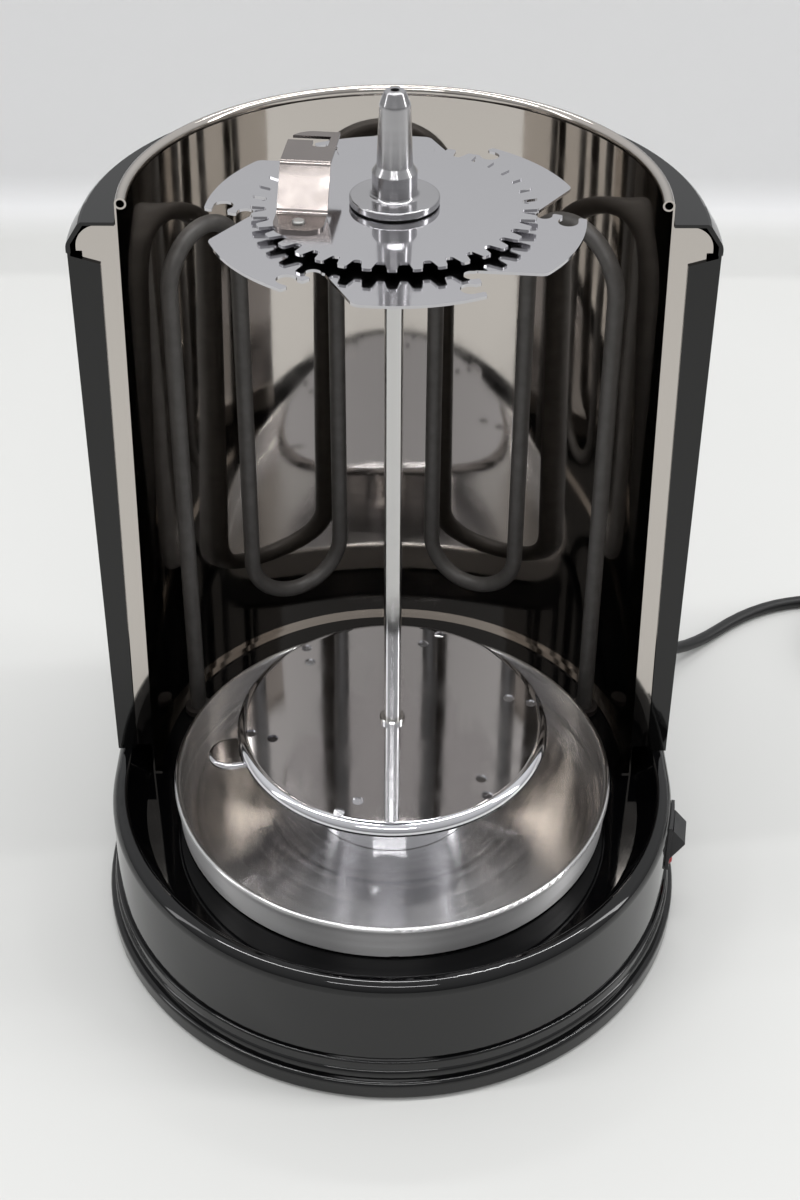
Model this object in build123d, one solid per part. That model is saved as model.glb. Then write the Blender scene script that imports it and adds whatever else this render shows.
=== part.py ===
from build123d import *
import os
from math import asin, atan2, cos, degrees, dist, hypot, pi, radians, sin, sqrt, tan

os.makedirs("parts", exist_ok=True)

# An upright electric skewer grill. All sizes are in mm.
# The carousel turns about x = 0, y = 0. The table is z = 0, and the user stands on the -Y side.
shaft_gap = 0.05  # radial gap of a shaft in its hole
seat_gap = 0.2  # gap all round a piece that sits in a recess

# Base: its plan is an obround, round about the carousel in front and the tower behind
tower_setback = 25.0  # from the carousel's axis back to the tower's axis
band_radius = 135.0
band_bottom = 20.7
housing_wall = 3.0
rim_top = 67.0
rim_round = 6.0
rim_thickness = 3.5
rim_width = 7.0
well_top_radius = band_radius - rim_width
well_slope = 8.5
well_floor_radius = well_top_radius - well_slope
well_edge_round = 1.5
deck_top = 50.0
deck_thickness = 3.0

# Foot ring and bottom plate, one moulding under the housing
ring_margin = 5.0  # beyond the housing
ring_radius = band_radius + ring_margin
ring_bottom = 1.0
ring_flange_top = 10.0
ring_round = 2.0
low_bead_radius = band_radius + ring_margin / 2
low_bead_top = 15.6
high_bead_radius = band_radius + 0.32 * ring_margin
bead_round = 2.2
ring_wall = 5.0
plate_thickness = 3.0

# Rubber feet and the screws that hold the bottom plate
foot_radius = 11.0
foot_height = 2.6
foot_places = [(100.0, -40.0), (-100.0, -40.0), (100.0, 65.0), (-100.0, 65.0)]
boss_radius = 5.5
boss_places = [(75.0, -75.0), (-75.0, -75.0), (70.0, 105.0), (-70.0, 105.0)]
plate_screw_radius = 1.6
plate_screw_head = 3.4
plate_screw_head_height = 1.3
plate_screw_length = 14.0

# Drive: a geared motor under the deck and a six-sided driver above it
motor_radius = 25.0
motor_height = 26.0
motor_ear_span = 84.0
motor_ear_width = 14.0
motor_ear_thickness = 1.5
motor_screw_radius = 1.4
motor_screw_head = 2.8
motor_screw_bite = 2.0
shaft_radius = 3.5
shaft_in_motor = 12.0
shaft_above_deck = 12.0
bush_radius = 8.0
bush_flange_radius = 10.0
bush_flange = 1.5
driver_radius = 7.0
driver_flats = 11.0  # across flats
driver_shoulder = 64.0
driver_top = 91.6

# Drip tray, turned about the carousel's axis, lying on the deck
tray_wall = 0.8
tray_radius = 103.6  # middle of the rolled rim
tray_top = 69.7
tray_bead = 1.5
tray_wall_foot = 102.8
tray_ring_radius = 98.0
tray_ring_rise = 0.6
tray_cone_inner = 38.0
tray_cone_rise = 3.0
tray_neck_top = 74.0
tray_neck_top_radius = 16.0
tray_hole_radius = 10.0

# Lower dish with its skewer holes, its cup and its lifting tab
dish_top = 100.0
dish_radius = 73.8
dish_edge_drop = 5.0
dish_edge_round = 4.6
dish_sheet = 1.2
skewer_hole_radius = 2.6
outer_hole_circle = 67.5
outer_hole_turn = 9.5  # degrees
inner_hole_circle = 58.0
inner_hole_turn = 14.7
lobes = 6
cup_radius = 41.0
cup_bottom = 54.0
cup_sheet = 1.0
socket_radius = 11.0
socket_length = 22.0
socket_gap = 0.25
tab_turn = 192.0
tab_width = 19.5
tab_reach = 88.0
tab_top = 93.0
tab_thickness = 2.4
tab_round = 1.8

# Rod and what is stacked on its top
rod_radius = 4.0
rod_seat = 4.6  # how far the rod goes into the socket under the dish
collar_radius = 6.0
collar_height = 2.0
hook_top = 364.5
hook_sheet = 1.2
hook_radius = 76.2
hook_tip_turn = 56.7  # degrees
hook_back_turn = 38.2  # from a lobe's rounded corner to its tip
outer_pocket_circle = 68.8
outer_pocket_lead = 2.4
outer_pocket_radius = 4.0
outer_mouth = 6.4
inner_pocket_circle = 59.4
inner_pocket_lag = 2.5
inner_pocket_radius = 3.3
inner_mouth = 5.6
pocket_wall_turn = 6.0
pocket_wall_radius = 57.2
hook_round = 0.9
hook_corner_round = 4.0
gear_gap = 3.5  # from the hook plate to the gear
gear_sheet = 1.2
gear_play = 0.1
gear_teeth = 37
gear_tip_radius = 57.0
gear_root_radius = 50.9
gear_turn = 269.2
gear_tip_width = 3.6
gear_root_width = 2.8
gear_round = 1.1
spacer_radius = 10.0
sleeve_radius = 6.0
washer_radius = 17.0
washer_height = 0.7

# Top hub, turned in one piece
hub_flange_radius = 18.0
hub_flange_height = 3.0
hub_radius = 9.0
hub_shoulder = 13.1  # above the hub's foot
nozzle_foot = 16.1
nozzle_foot_radius = 7.2
nozzle_top_radius = 6.15
nozzle_round_foot = 41.0
hub_height = 46.6
hub_tip_radius = 4.0
hub_tip_hole = 1.75
hub_tip_hole_depth = 8.0
rod_in_hub = 29.5

# Bracket riveted to the gear
bracket_width = 20.0
bracket_sheet = 1.2
bracket_turn = -6.0
rivet_place = (-37.0, -20.4)
rivet_radius = 2.6
rivet_height = 1.2
bracket_toe = 6.6  # from the rivet forward to the rounded toe
bracket_heel = 8.0  # from the rivet back to the foot of the upright
bracket_lean = 12.0  # how far back the upright leans
bracket_height = 16.6
bracket_shelf = 29.5
slot_width = 4.2
slot_from_rivet = 42.5
pocket_width = 6.6
pocket_depth = 8.0
pocket_from_edge = 3.2

# Tower shell: black sheet with a hem on the rim and two front returns
shell_radius = band_radius
shell_sheet = 1.2
shell_front = 14.3
shell_top = 339.0
hem_width = 9.0
hem_inner_radius = shell_radius - hem_width
return_width_top = 13.7
return_inner_top = shell_radius - return_width_top
return_width_bottom = 9.4
return_inner_bottom = shell_radius - return_width_bottom
return_outer_top = 338.0
return_inner_height = 334.0
shell_screw_inset = 5.0
shell_screw_circle = shell_radius - shell_screw_inset
shell_screw_turns = [30.0, 90.0, 150.0]
shell_screw_radius = 1.5
shell_screw_head = 3.0
shell_screw_head_height = 1.8

# Top cap of the tower
cap_sheet = 1.5
cap_skirt_margin = 0.5  # beyond the shell
cap_skirt_radius = shell_radius + cap_skirt_margin
cap_skirt_top = 343.0
cap_shoulder_inset = 5.5
cap_shoulder_radius = cap_skirt_radius - cap_shoulder_inset
cap_shoulder_drop = 1.2
cap_top = 353.0
cap_top_inset = 7.0
cap_top_radius = cap_skirt_radius - cap_top_inset
cap_gap = 0.4  # to the reflector

# Reflector: polished sheet, a steep cone about the tower's axis
mirror_sheet = 0.8
mirror_foot_gap = 1.3  # inside the well's foot
mirror_foot_radius = well_floor_radius - mirror_foot_gap
mirror_lean = 4.8
mirror_top_radius = mirror_foot_radius - mirror_lean
mirror_lip = 3.5
mirror_bead_height = 360.8
mirror_bead_radius = 2.5
mirror_bead_bore = 1.7
flange_inset = 6.5
flange_outer = shell_radius - flange_inset
flange_foot_gap = 0.4  # above the hem
flange_head_inset = 4.0
flange_head_width = shell_radius - flange_head_inset
flange_head_foot = 339.6
flange_head_gap = 0.2  # under the cap
flange_head_round = 10.0

# Heater: one tube, up and down between three legs on each side
heater_radius = 4.0
heater_tail = 30.0
heater_legs = [(-100.3, 63.0), (-72.5, 101.0), (-28.0, 124.5)]
heater_legs += [(20.3, 127.0), (63.0, 107.0), (99.5, 64.5)]
heater_side_top = 318.0
heater_middle_top = 336.0
heater_low = 92.0
heater_bush_radius = 6.8
heater_bush_neck = 5.6
heater_bush_height = 3.0

# Rocker switch and lamp, on the right of the band
switch_turn = -10.0
switch_height = 47.5
switch_opening_width = 15.2
switch_opening_height = 22.4
switch_frame_wall = 1.2
switch_frame_depth = 4.5  # inward from the band's face
switch_frame_inner = band_radius - switch_frame_depth
switch_bezel_rise = 1.8
switch_bezel_top = band_radius + switch_bezel_rise
switch_bezel_overlap = 1.1
switch_depth = 23.0
switch_back = band_radius - switch_depth
switch_back_top = 46.4
rocker_side_gap = 0.3
rocker_pivot_depth = 3.5
rocker_pivot_radius = band_radius - rocker_pivot_depth
rocker_pin_radius = 1.5
rocker_rise = 8.5
rocker_ridge = band_radius + rocker_rise
rocker_ridge_height = 50.0
rocker_round = 1.6
lamp_height = 31.4
lamp_radius = 2.3
lamp_flange_radius = 3.4
lamp_reach = band_radius + 3.2

# Parts on the bottom plate and under the deck
block_size = (34.0, 18.0, 14.0)
block_place = (66.0, 80.0)
cutout_radius = 8.0
cutout_height = 8.0
cutout_place = (-40.0, 90.0)
wire_radius = 1.3
wire_height = 12.0
wire_bend = 4.0
wire_lead = 8.0
wire_seat = 0.1  # between a wire's end and the piece it meets

# Mains cord
cord_radius = 3.4
cord_turn = 40.2  # degrees about the tower's axis
cord_height = 31.0
relief_flange = 8.5
relief_neck = 6.0
relief_tip = 4.6
relief_reach = 17.0
relief_inner_flange = 3.3
cord_clear = 0.6  # between neighbouring turns
coil_start_radius = 42.5
coil_half_turns = 8
coil_climb_at = 4
plug_radius = 18.5


def ring_solid(radius, hole, low, high, place=(0.0, 0.0)):
    ring = Circle(radius) - Circle(hole) if hole > 0 else Circle(radius)
    return Pos(place[0], place[1], low) * extrude(ring, high - low)


def disc(radius, low, high, place=(0.0, 0.0)):
    return Pos(place[0], place[1], low) * extrude(Circle(radius), high - low)


def obround(radius, low, high):
    plan = Pos(0, tower_setback / 2) * SlotCenterToCenter(tower_setback, 2 * radius, rotation=90)
    return Pos(0, 0, low) * extrude(plan, high - low)


def tapered_obround(low_radius, high_radius, low, high):
    cone = Pos(0, 0, (low + high) / 2) * Cone(low_radius, high_radius, high - low)
    side = [(-low_radius, low), (low_radius, low), (high_radius, high), (-high_radius, high)]
    middle = extrude(Plane.XZ * make_face(Polyline(*side, close=True)), -tower_setback)
    return cone + Pos(0, tower_setback) * cone + middle


def turned(points, rounds=()):
    """Solid of revolution about Z; rounds lists (index of a corner, radius)."""
    outline = make_face(Polyline(*points, close=True))
    for corner, radius in rounds:
        spot = points[corner]
        near = outline.vertices().sort_by_distance((spot[0], spot[1], 0))[0]
        outline = fillet(near, radius)
    return revolve(Plane.XZ * outline, Axis.Z)


def behind_plane(solid, front):
    """The part of a solid that lies behind the plane y = front."""
    size = 4 * ring_radius
    return solid - Pos(0, front - size / 2, size / 2) * Box(size, size, 2 * size)


def plan_radius(point):
    """Distance from the line that joins the two axes of the base."""
    nearest = min(max(point.Y, 0.0), tower_setback)
    return hypot(point.X, point.Y - nearest)


def front_plate(points, front, thickness):
    """A flat plate that faces the user, from points (x, z)."""
    outline = make_face(Polyline(*points, close=True))
    return Pos(0, front, 0) * extrude(Plane.XZ * outline, -thickness)


def along_x(solid, height, turn, centre_y=0.0):
    """Stands a solid that was made along Z on a radius of the base."""
    return Pos(0, centre_y, height) * Rot(0, 0, turn) * Rot(0, 90, 0) * solid


def polar(radius, turn):
    return (radius * cos(radians(turn)), radius * sin(radians(turn)))


def on_switch_radius(solid):
    return Rot(0, 0, switch_turn) * solid


ring_inner = band_radius - ring_wall
plate_top = ring_bottom + plate_thickness
deck_bottom = deck_top - deck_thickness
motor_top = deck_bottom - motor_ear_thickness
foot_recess_top = foot_height
screw_head_top = ring_bottom + plate_screw_head_height + 0.2
motor_screw_places = [(motor_ear_span / 2 - motor_ear_width / 2, 0.0)]
motor_screw_places += [(-motor_screw_places[0][0], 0.0)]
frame_height = switch_opening_height + 2 * switch_frame_wall
frame_width = switch_opening_width + 2 * switch_frame_wall
relief_inner_end = band_radius - housing_wall - 0.3 - relief_inner_flange


def make_housing():
    body = obround(band_radius, band_bottom, rim_top)
    body = fillet(body.edges().group_by(Axis.Z)[-1], rim_round)
    body -= tapered_obround(well_floor_radius, well_top_radius, deck_top, rim_top)
    rim_edges = body.edges().filter_by_position(Axis.Z, rim_top - 0.01, rim_top + 0.01)
    inner_edges = [e for e in rim_edges if plan_radius(e @ 0.5) < well_top_radius + 0.1]
    body = fillet(inner_edges, well_edge_round)
    hollow = obround(band_radius - housing_wall, band_bottom, rim_top - rim_thickness)
    hollow -= tapered_obround(
        well_floor_radius + housing_wall, well_top_radius + housing_wall, deck_bottom, rim_top - deck_thickness
    )
    body -= hollow
    for place in boss_places:
        body += disc(boss_radius, plate_top, deck_bottom, place)
        body -= disc(
            plate_screw_radius + shaft_gap, plate_top, screw_head_top + plate_screw_length + 1, place
        )
    body -= disc(bush_radius, deck_bottom, deck_top)
    for place in (heater_legs[0], heater_legs[-1]):
        body -= disc(heater_bush_neck + shaft_gap, deck_bottom, deck_top, place)
    for place in motor_screw_places:
        body -= disc(motor_screw_radius + shaft_gap, deck_bottom, deck_bottom + motor_screw_bite, place)
    for turn in shell_screw_turns:
        x, y = polar(shell_screw_circle, turn)
        body -= disc(shell_screw_radius + shaft_gap, rim_top - rim_thickness, rim_top, (x, y + tower_setback))
    window = Box(8, frame_width + 2 * seat_gap, frame_height + 2 * seat_gap)
    body -= on_switch_radius(Pos(band_radius, 0, switch_height) * window)
    body -= along_x(disc(lamp_radius + shaft_gap, band_radius - 8, band_radius + 1), lamp_height, switch_turn)
    relief_hole = disc(relief_neck + shaft_gap, band_radius - 8, band_radius + 1)
    body -= along_x(relief_hole, cord_height, cord_turn, tower_setback)
    return body


def make_base_ring():
    flange = obround(ring_radius, ring_bottom, ring_flange_top)
    flange = fillet(flange.edges().group_by(Axis.Z)[-1], ring_round)
    flange = fillet(flange.edges().group_by(Axis.Z)[0], ring_round / 2)
    low_bead = obround(low_bead_radius, ring_flange_top, low_bead_top)
    low_bead = fillet(low_bead.edges().group_by(Axis.Z)[-1], bead_round)
    high_bead = obround(high_bead_radius, low_bead_top, band_bottom)
    high_bead = fillet(high_bead.edges().group_by(Axis.Z)[-1], bead_round / 2)
    body = flange + low_bead + high_bead
    body -= obround(ring_inner, plate_top, band_bottom)
    for place in foot_places:
        body -= disc(foot_radius + seat_gap, ring_bottom, foot_recess_top, place)
    for place in boss_places:
        body -= disc(plate_screw_head + seat_gap, ring_bottom, screw_head_top, place)
        body -= disc(plate_screw_radius + seat_gap, ring_bottom, plate_top, place)
    return body


def make_feet():
    foot = fillet(disc(foot_radius, 0, foot_height).edges().group_by(Axis.Z)[0], 0.6)
    return [Pos(x, y) * foot for x, y in foot_places]


def make_base_screws():
    head = disc(plate_screw_head, screw_head_top - plate_screw_head_height, screw_head_top)
    shank = disc(plate_screw_radius, screw_head_top, screw_head_top + plate_screw_length)
    drive = Pos(0, 0, screw_head_top - plate_screw_head_height) * Box(1, 4, 1)
    return [Pos(x, y) * (head + shank - drive) for x, y in boss_places]


def make_motor():
    body = disc(motor_radius, motor_top - motor_height, motor_top)
    body = fillet(body.edges().group_by(Axis.Z)[0], 2)
    ears = SlotOverall(motor_ear_span, motor_ear_width) + Circle(motor_radius)
    body += Pos(0, 0, motor_top) * extrude(ears, motor_ear_thickness)
    for place in motor_screw_places:
        body -= disc(motor_screw_radius + shaft_gap, motor_top, deck_bottom, place)
    return body - disc(shaft_radius + shaft_gap, deck_bottom - shaft_in_motor, deck_bottom)


def make_motor_screws():
    screw = disc(motor_screw_head, motor_top - 2, motor_top)
    screw += disc(motor_screw_radius, motor_top, deck_bottom + motor_screw_bite)
    return [Pos(x, y) * screw for x, y in motor_screw_places]


def make_motor_shaft():
    return disc(shaft_radius, deck_bottom - shaft_in_motor, deck_top + shaft_above_deck)


def make_shaft_bush():
    body = disc(bush_radius - shaft_gap, deck_bottom, deck_top)
    body += disc(bush_flange_radius, deck_top, deck_top + bush_flange)
    return body - disc(shaft_radius + shaft_gap, deck_bottom, deck_top + bush_flange)


def make_driver():
    foot = deck_top + bush_flange + 2 * seat_gap
    body = disc(driver_radius, foot, driver_shoulder)
    six = RegularPolygon(driver_flats / 2, 6, major_radius=False)
    body += Pos(0, 0, driver_shoulder) * extrude(six, driver_top - driver_shoulder)
    body = chamfer(body.faces().sort_by(Axis.Z)[-1].edges(), 0.8)
    return body - disc(shaft_radius + shaft_gap, foot, deck_top + shaft_above_deck)


def make_tray():
    floor = deck_top + tray_wall
    wall_top = tray_top - tray_bead
    outer = [
        (tray_hole_radius, tray_neck_top - tray_wall),
        (tray_neck_top_radius, tray_neck_top - tray_wall),
        (tray_cone_inner - 2, deck_top + tray_cone_rise),
        (tray_cone_inner, deck_top + tray_cone_rise),
        (tray_ring_radius, deck_top + tray_ring_rise),
        (tray_ring_radius, deck_top),
        (tray_wall_foot + tray_wall / 2, deck_top),
        (tray_radius + tray_wall / 2, wall_top),
    ]
    inner = [
        (tray_radius - tray_wall / 2, wall_top),
        (tray_wall_foot - tray_wall / 2, floor),
        (tray_ring_radius + tray_wall, floor),
        (tray_ring_radius, floor + tray_ring_rise),
        (tray_cone_inner, floor + tray_cone_rise),
        (tray_cone_inner - 2 + tray_wall, floor + tray_cone_rise),
        (tray_neck_top_radius + tray_wall / 2, tray_neck_top),
        (tray_hole_radius, tray_neck_top),
    ]
    body = turned(outer + inner, [(6, 1.6), (9, 0.8)])
    bead = revolve(Plane.XZ * (Pos(tray_radius, wall_top) * Circle(tray_bead)), Axis.Z)
    return body + bead


def make_dish():
    low = dish_top - dish_edge_drop
    under = dish_top - dish_sheet
    inner = dish_radius - dish_sheet
    points = [(0, under), (inner, under), (inner, low), (dish_radius, low), (dish_radius, dish_top), (0, dish_top)]
    body = turned(points, [(4, dish_edge_round), (1, dish_edge_round - dish_sheet)])
    body -= disc(rod_radius + shaft_gap, under, dish_top)
    for k in range(lobes):
        step = 360 / lobes * k
        outer = polar(outer_hole_circle, outer_hole_turn + step)
        inner = polar(inner_hole_circle, inner_hole_turn + step)
        body -= disc(skewer_hole_radius, under - 4, dish_top + 1, outer)
        body -= disc(skewer_hole_radius, under - 4, dish_top + 1, inner)
    return body


def make_cup():
    top = dish_top - dish_sheet
    body = disc(cup_radius, cup_bottom, top)
    body = fillet(body.edges().group_by(Axis.Z)[-1], 2)
    body -= disc(cup_radius - cup_sheet, cup_bottom, top - cup_sheet)
    return body - disc(rod_radius + shaft_gap, cup_bottom, top)


def make_socket():
    top = dish_top - dish_sheet - cup_sheet
    body = disc(socket_radius, top - socket_length, top)
    six = RegularPolygon(driver_flats / 2 + socket_gap, 6, major_radius=False)
    body -= Pos(0, 0, top - socket_length) * extrude(six, driver_top + seat_gap - top + socket_length)
    return body - disc(rod_radius + shaft_gap, top - rod_seat, top)


def make_tab():
    length = tab_reach - cup_radius - tab_width / 2
    middle = cup_radius + length / 2
    plan = Pos(middle, 0) * Rectangle(length, tab_width)
    plan += Pos(tab_reach - tab_width / 2, 0) * Circle(tab_width / 2)
    body = Pos(0, 0, tab_top - tab_thickness) * extrude(plan, tab_thickness)
    leg = Pos(cup_radius + tab_thickness / 2, 0, tab_top - 6) * Box(tab_thickness, tab_width, 12)
    body += leg
    top_edges = body.edges().filter_by_position(Axis.Z, tab_top - 0.01, tab_top + 0.01)
    outer_edges = [e for e in top_edges if (e @ 0.5).X > cup_radius + tab_thickness]
    body = fillet(outer_edges, tab_round)
    body -= disc(cup_radius, 0, dish_top)
    return Rot(0, 0, tab_turn) * body


def make_rod():
    foot = dish_top - dish_sheet - cup_sheet - rod_seat
    return disc(rod_radius, foot, hub_foot + rod_in_hub)


def make_collar():
    body = ring_solid(collar_radius, rod_radius + shaft_gap, dish_top, dish_top + collar_height)
    return chamfer(body.edges().group_by(Axis.Z)[-1].sort_by(SortBy.LENGTH)[-1], 0.5)


def pocket(circle, turn, radius, mouth, shift, reach):
    """A round pocket with a mouth that opens round the plate."""
    opening = Pos(circle + shift, reach / 2) * Rectangle(mouth, reach)
    return Rot(0, 0, turn) * (Pos(circle, 0) * Circle(radius) + opening)


def hook_lobe(turn):
    """One sixth of the hook plate: the round back, the tip and the two pockets."""
    corner = polar(hook_radius, turn - hook_back_turn)
    back = polar(hook_radius, turn - hook_back_turn / 2)
    tip = polar(hook_radius, turn)
    wall = polar(pocket_wall_radius, turn + pocket_wall_turn)
    next_corner = polar(hook_radius, turn - hook_back_turn + 360 / lobes)
    edge = ThreePointArc(corner, back, tip) + Polyline(tip, wall, next_corner)
    lobe = make_face(edge + Polyline(next_corner, (0, 0), corner))
    outer_turn = turn - outer_pocket_lead
    inner_turn = turn + inner_pocket_lag
    lobe -= pocket(outer_pocket_circle, outer_turn, outer_pocket_radius, outer_mouth, 0.8, 9)
    lobe -= pocket(inner_pocket_circle, inner_turn, inner_pocket_radius, inner_mouth, 0.5, 4)
    face_line = Line(tip, wall)
    ends = [v for v in lobe.vertices() if v.distance_to(face_line) < 0.02]
    ends = [v for v in ends if hypot(v.X, v.Y) > inner_pocket_circle + 1]
    return fillet(ends, hook_round)


def make_hook_plate():
    plan = Circle(inner_pocket_circle / 2)
    for k in range(lobes):
        plan += hook_lobe(hook_tip_turn + 360 / lobes * k)
    corners = [v for v in plan.vertices() if hypot(v.X, v.Y) > hook_radius - 0.05]
    lobe_turn = radians(hook_tip_turn - hook_back_turn)
    step = 2 * pi / lobes
    bends = []
    for v in corners:
        away = (atan2(v.Y, v.X) - lobe_turn) / step
        if abs(away - round(away)) < 0.01:
            bends.append(v)
    plan = fillet(bends, hook_corner_round)
    plan -= Circle(rod_radius + shaft_gap)
    return Pos(0, 0, hook_top - hook_sheet) * extrude(plan, hook_sheet)


gear_foot = hook_top + gear_gap
gear_top = gear_foot + gear_sheet
hub_foot = gear_top + gear_play + washer_height - 0.1


def make_spacer():
    body = disc(spacer_radius, hook_top, gear_foot - gear_play)
    body += disc(sleeve_radius, gear_foot - gear_play, hub_foot - washer_height)
    return body - disc(rod_radius + shaft_gap, hook_top, hub_foot)


def make_gear():
    tip_half = degrees(gear_tip_width / 2 / gear_tip_radius)
    root_half = degrees(gear_root_width / 2 / gear_root_radius)
    step = 360 / gear_teeth
    corners = []
    for k in range(gear_teeth):
        middle = gear_turn + step * k
        corners.append(polar(gear_tip_radius, middle - tip_half))
        corners.append(polar(gear_tip_radius, middle + tip_half))
        corners.append(polar(gear_root_radius, middle + step / 2 - root_half))
        corners.append(polar(gear_root_radius, middle + step / 2 + root_half))
    plan = make_face(Polyline(*corners, close=True))
    plan = fillet(plan.vertices(), gear_round)
    plan -= Circle(sleeve_radius + shaft_gap)
    plan -= Pos(*rivet_place) * Circle(rivet_radius / 2 + shaft_gap)
    return Pos(0, 0, gear_foot) * extrude(plan, gear_sheet)


def make_washer():
    return ring_solid(washer_radius, rod_radius + shaft_gap, hub_foot - washer_height, hub_foot)


def make_hub():
    points = [
        (0, 0),
        (hub_flange_radius, 0),
        (hub_flange_radius, hub_flange_height),
        (hub_radius, hub_flange_height),
        (hub_radius, hub_shoulder),
        (nozzle_foot_radius, nozzle_foot),
        (nozzle_top_radius, nozzle_round_foot),
        (hub_tip_radius, hub_height),
        (0, hub_height),
    ]
    rounds = [(3, 1.6), (2, 0.8), (1, 0.4), (7, 1.2), (6, 4)]
    body = turned(points, rounds)
    body -= disc(rod_radius + shaft_gap, 0, rod_in_hub)
    body -= disc(hub_tip_hole, hub_height - hub_tip_hole_depth, hub_height)
    return Pos(0, 0, hub_foot) * body


def bracket_path():
    """Side view of the bracket, from its toe to the back of its shelf, as (y, z)."""
    points = [
        (-bracket_toe, 0),
        (bracket_heel, 0),
        (bracket_heel + bracket_lean, bracket_height),
        (bracket_heel + bracket_lean + bracket_shelf, bracket_height),
    ]
    return FilletPolyline(*points, radius=3.2)


def make_bracket():
    path = Plane.YZ * bracket_path()
    sheet = make_face(offset(path, bracket_sheet, side=Side.LEFT).edges())
    body = extrude(sheet, bracket_width / 2, both=True)
    if body.bounding_box().min.Z < -0.01:
        body = Pos(0, 0, -body.bounding_box().min.Z) * body
    length = bracket_toe + bracket_heel + bracket_lean + bracket_shelf
    outline = Pos(0, length / 2 - bracket_toe) * Rectangle(bracket_width, length)
    corners = outline.vertices()
    outline = fillet(corners.group_by(Axis.Y)[0], bracket_toe)
    back_left = outline.vertices().sort_by_distance((-bracket_width / 2, length - bracket_toe, 0))[0]
    outline = fillet(back_left, bracket_width / 2)
    body = body & extrude(outline, 2 * bracket_height)
    slot = Pos(-pocket_from_edge, slot_from_rivet, bracket_height) * Box(bracket_width, slot_width, 9)
    hole_x = bracket_width / 2 - pocket_from_edge - pocket_width / 2
    hole_y = slot_from_rivet + slot_width / 2 - pocket_depth / 2 - 1
    hole = Pos(hole_x, hole_y) * RectangleRounded(pocket_width, pocket_depth + 2, 2.2)
    body -= slot
    body -= Pos(0, 0, bracket_height - 4) * extrude(hole, 9)
    body -= disc(rivet_radius / 2 + shaft_gap, -1, 3)
    return Pos(*rivet_place, gear_top) * Rot(0, 0, bracket_turn) * body


def make_rivet():
    head_foot = gear_top + bracket_sheet
    body = disc(rivet_radius, head_foot, head_foot + rivet_height, rivet_place)
    body = fillet(body.edges().group_by(Axis.Z)[-1], 0.9)
    body += disc(rivet_radius / 2, gear_foot, head_foot, rivet_place)
    return body + disc(rivet_radius, gear_foot - 0.6, gear_foot, rivet_place)


def make_shell():
    inner = shell_radius - shell_sheet
    hem_top = rim_top + shell_sheet
    points = [
        (hem_inner_radius, rim_top),
        (shell_radius, rim_top),
        (shell_radius, shell_top),
        (inner, shell_top),
        (inner, hem_top),
        (hem_inner_radius, hem_top),
    ]
    body = Pos(0, tower_setback) * turned(points, [(1, 1.5)])
    body = behind_plane(body, shell_front)
    for turn in shell_screw_turns:
        x, y = polar(shell_screw_circle, turn)
        body -= disc(shell_screw_radius + shaft_gap, rim_top, hem_top, (x, y + tower_setback))
    edge = sqrt(shell_radius**2 - (tower_setback - shell_front) ** 2)
    for side in (-1, 1):
        corners = [
            (side * return_inner_bottom, rim_top),
            (side * edge, rim_top),
            (side * edge, return_outer_top),
            (side * return_inner_top, return_inner_height),
        ]
        body += front_plate(corners, shell_front, shell_sheet)
    return body


def make_shell_screws():
    screws = []
    head_foot = rim_top + shell_sheet
    for turn in shell_screw_turns:
        x, y = polar(shell_screw_circle, turn)
        screw = disc(shell_screw_head, head_foot, head_foot + shell_screw_head_height)
        screw = fillet(screw.edges().group_by(Axis.Z)[-1], 0.8)
        screw += disc(shell_screw_radius, rim_top - rim_thickness + 0.4, head_foot)
        screws.append(Pos(x, y + tower_setback) * screw)
    return screws


mirror_taper = (mirror_foot_radius - mirror_top_radius) / (shell_top + 18 - deck_top)


def mirror_radius(height):
    return mirror_foot_radius - mirror_taper * (height - deck_top)


def make_cap():
    inner = mirror_radius(cap_top) + mirror_sheet + cap_gap
    skirt_inner = cap_skirt_radius - cap_sheet - 0.5
    points = [
        (skirt_inner, shell_top),
        (cap_skirt_radius, shell_top),
        (cap_skirt_radius, cap_skirt_top),
        (cap_shoulder_radius, cap_top - cap_shoulder_drop),
        (cap_top_radius, cap_top),
        (inner, cap_top),
        (inner, cap_top - cap_sheet),
        (cap_top_radius - 0.8, cap_top - cap_sheet),
        (cap_shoulder_radius - cap_sheet, cap_top - cap_shoulder_drop - cap_sheet),
        (skirt_inner, cap_skirt_top),
    ]
    rounds = [(2, 6), (3, 2.5)]
    return behind_plane(Pos(0, tower_setback) * turned(points, rounds), shell_front)


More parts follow.
